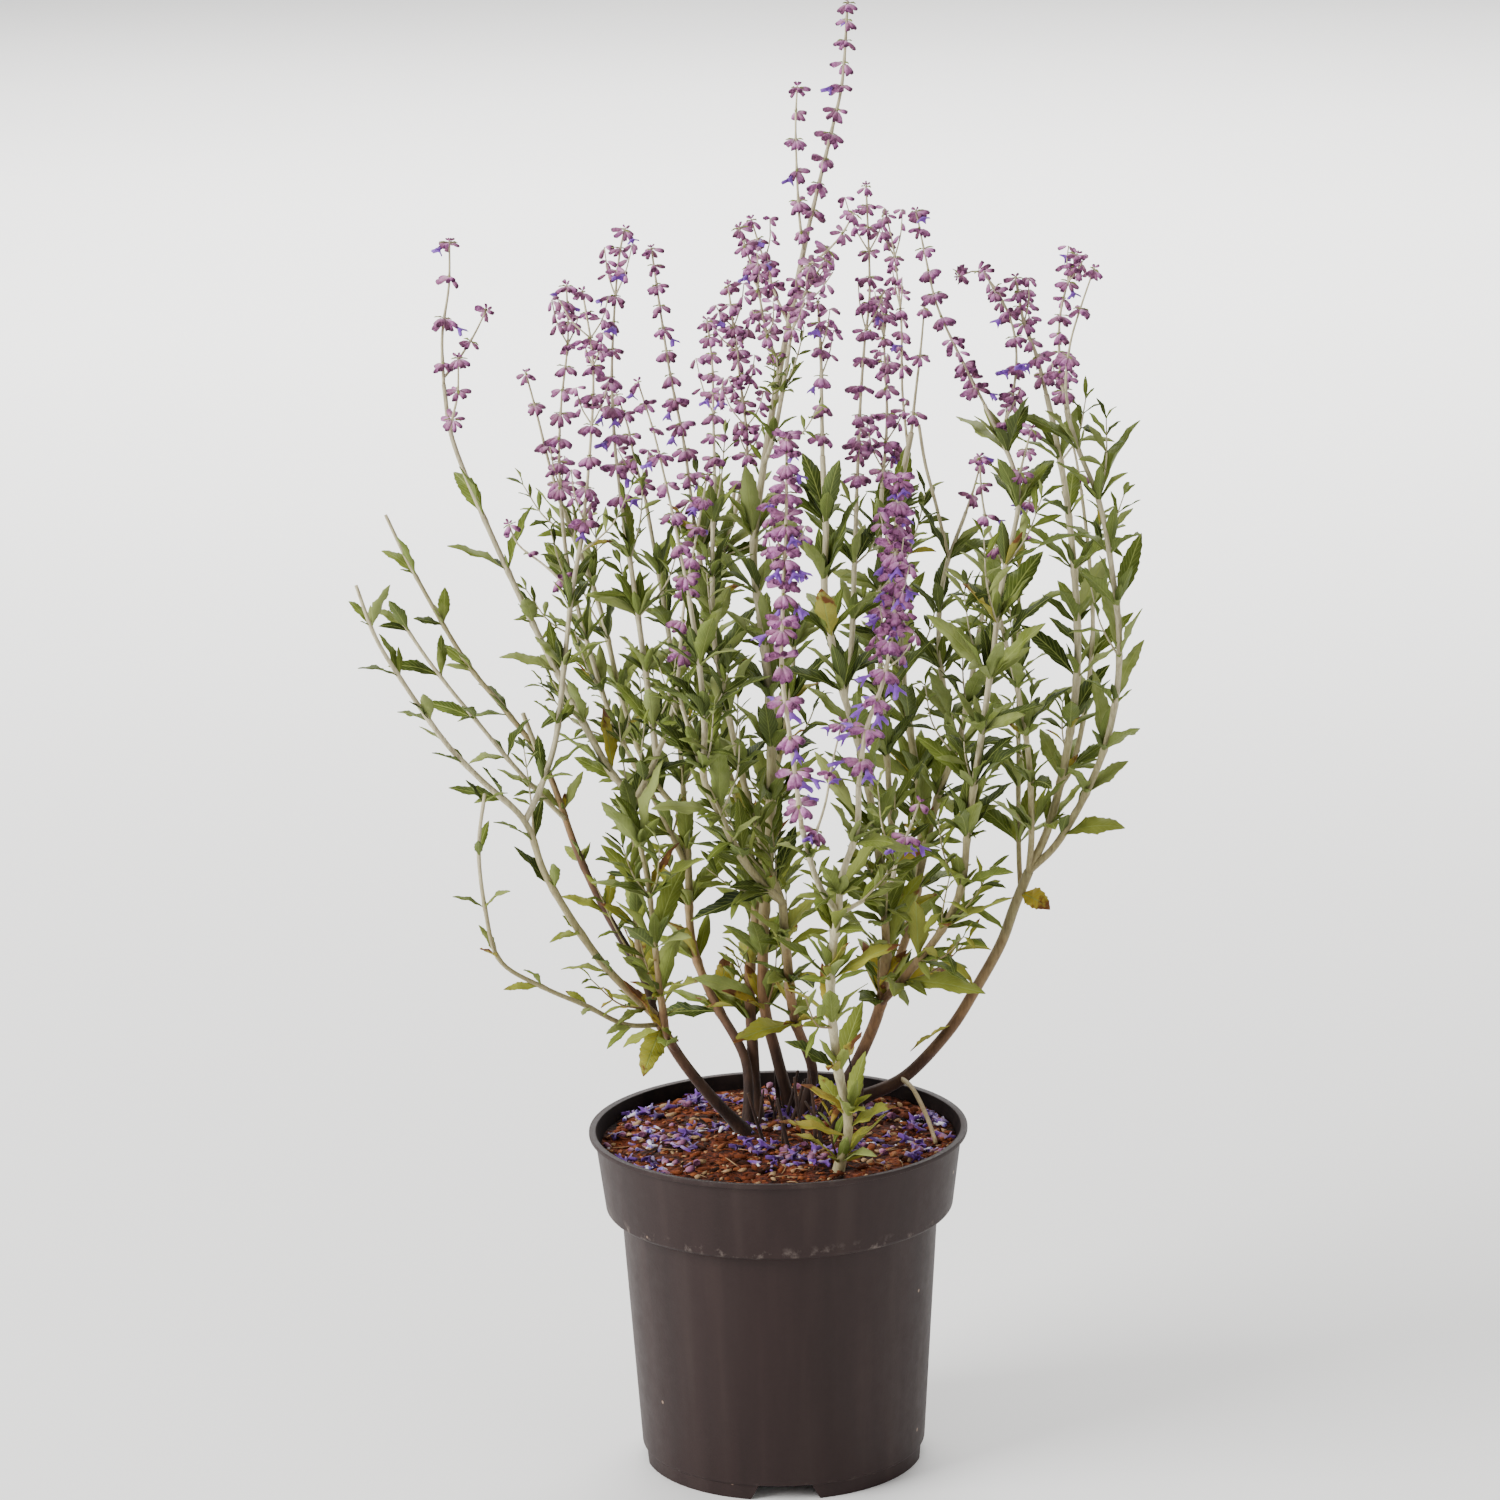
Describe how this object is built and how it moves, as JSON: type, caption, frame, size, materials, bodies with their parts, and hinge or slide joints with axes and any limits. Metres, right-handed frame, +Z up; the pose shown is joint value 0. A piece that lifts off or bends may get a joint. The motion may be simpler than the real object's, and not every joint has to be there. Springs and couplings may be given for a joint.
{
  "type": "potted russian sage",
  "caption": "Flowering russian sage in a round black nursery pot: woody canes with toothed grey-green leaves and slender violet flower spikes, filled with soil.",
  "frame": {"origin": "centre of the pot's foot pad, on the plane that the pot stands on", "axes": "+Z up along the pot's axis, -Y towards the front of the plant, +X to its right seen from the front"},
  "size_m": [0.3747, 0.2841, 0.7311],
  "materials": {
    "pot": "matt dark taupe",
    "soil": "damp coir and peat crumbs",
    "stem": "silvery felt over brown bark",
    "leaf": "matt grey-green",
    "flower": "woolly mauve"
  },
  "bodies": {
    "root": {"pot": "pot", "soil": "soil", "cane_left": "stem", "cane_back_left": "stem", "cane_back": "stem", "cane_tall": "stem", "cane_centre": "stem", "cane_near_right": "stem", "cane_far_right": "stem", "cane_front": "stem", "spike_left_pale": "flower", "spike_left_outer": "flower", "spike_left_twig_a": "flower", "spike_left_twig_b": "flower", "spike_left_side": "flower", "spike_left_yellow": "flower", "spike_left_b": "flower", "spike_back_left_a": "flower", "spike_back_left_b": "flower", "spike_back_left_c": "flower", "spike_back_a": "flower", "spike_tall": "flower", "spike_tall_twin": "flower", "spike_tall_left": "flower", "spike_tall_left_b": "flower", "spike_tall_right": "flower", "spike_tall_side": "flower", "spike_centre_a": "flower", "spike_centre_b": "flower", "spike_centre_c": "flower", "spike_near_right_a": "flower", "spike_near_right_b": "flower", "spike_near_right_c": "flower", "spike_near_right_d": "flower", "spike_near_right_e": "flower", "spike_near_right_f": "flower", "spike_near_right_g": "flower", "spike_near_right_h": "flower", "spike_near_right_i": "flower", "spike_near_right_k": "flower", "spike_far_right_b": "flower", "spike_far_right_c": "flower", "spike_far_right_d": "flower", "spike_far_right_side": "flower", "spike_far_right_e": "flower", "spike_front_a": "flower", "spike_front_b": "flower", "spike_front_c": "flower", "spike_front_mid": "flower"}
  },
  "joints": []
}
